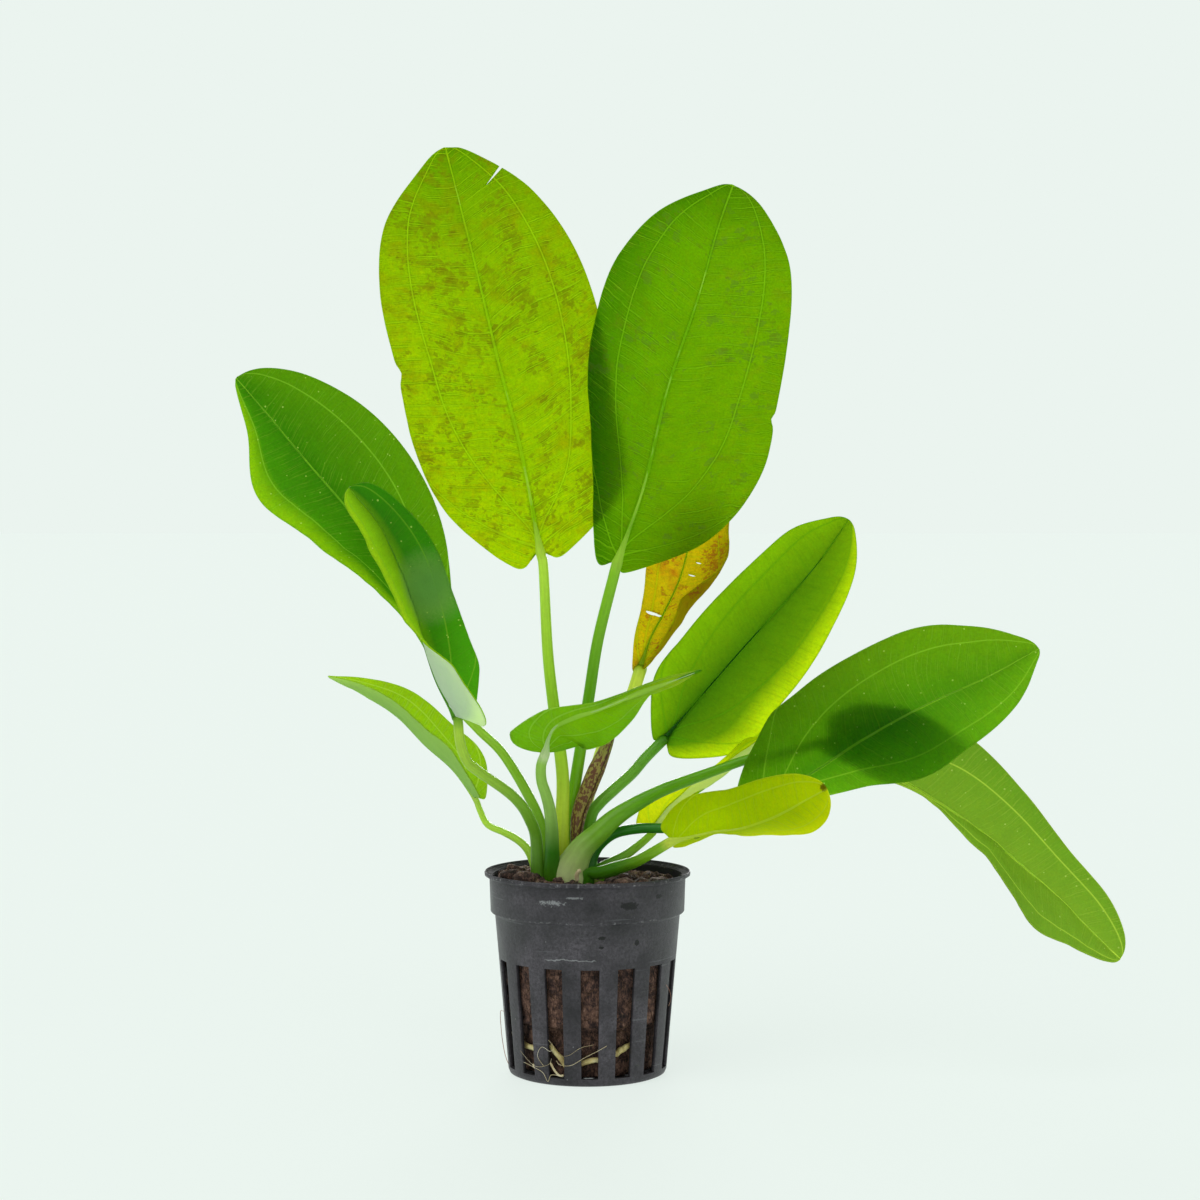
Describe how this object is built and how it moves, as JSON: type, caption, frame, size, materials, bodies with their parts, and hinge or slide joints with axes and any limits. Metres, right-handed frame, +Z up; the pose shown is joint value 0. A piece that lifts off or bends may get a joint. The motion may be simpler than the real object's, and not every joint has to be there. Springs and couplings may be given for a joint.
{
  "type": "python echinodorus",
  "caption": "Young potted sword plant with broad green leaves on slender stems, rising from a crown in a slotted black net pot of fibrous growing medium.",
  "frame": {"origin": "centre of the pot's flat underside", "axes": "+Z up along the pot's axis, -Y towards the front, where the leaves face"},
  "size_m": [0.2234, 0.0794, 0.226],
  "materials": {
    "pot": "satin",
    "medium": "matte",
    "crown": "matte",
    "roots": "satin",
    "leaf_yellow_green": "satin",
    "leaf_green": "satin",
    "leaf_dark_green": "satin",
    "leaf_yellow": "satin",
    "leaf_maroon": "satin",
    "stem": "satin"
  },
  "bodies": {
    "root": {"net_pot": "pot", "growing_medium": "medium", "crown": "crown", "root_left": "roots", "root_front": "roots", "root_right": "roots", "root_back": "roots", "leaf_tall_left_blade": "leaf_yellow_green", "leaf_tall_left_stem": "stem", "leaf_tall_right_blade": "leaf_green", "leaf_tall_right_stem": "stem", "leaf_wide_left_blade": "leaf_green", "leaf_wide_left_stem": "stem", "leaf_folded_left_blade": "leaf_dark_green", "leaf_folded_left_stem": "stem", "leaf_small_left_blade": "leaf_yellow_green", "leaf_small_left_stem": "stem", "leaf_front_blade": "leaf_green", "leaf_front_stem": "stem", "leaf_yellow_blade": "leaf_yellow", "leaf_yellow_stem": "stem", "leaf_rolled": "leaf_maroon", "leaf_right_upper_blade": "leaf_green", "leaf_right_upper_stem": "stem", "leaf_right_large_blade": "leaf_green", "leaf_right_large_stem": "stem", "leaf_low_right_blade": "leaf_yellow_green", "leaf_low_right_stem": "stem", "leaf_young_right_blade": "leaf_yellow_green", "leaf_young_right_stem": "stem", "leaf_drooping_blade": "leaf_green", "leaf_drooping_stem": "stem"}
  },
  "joints": []
}
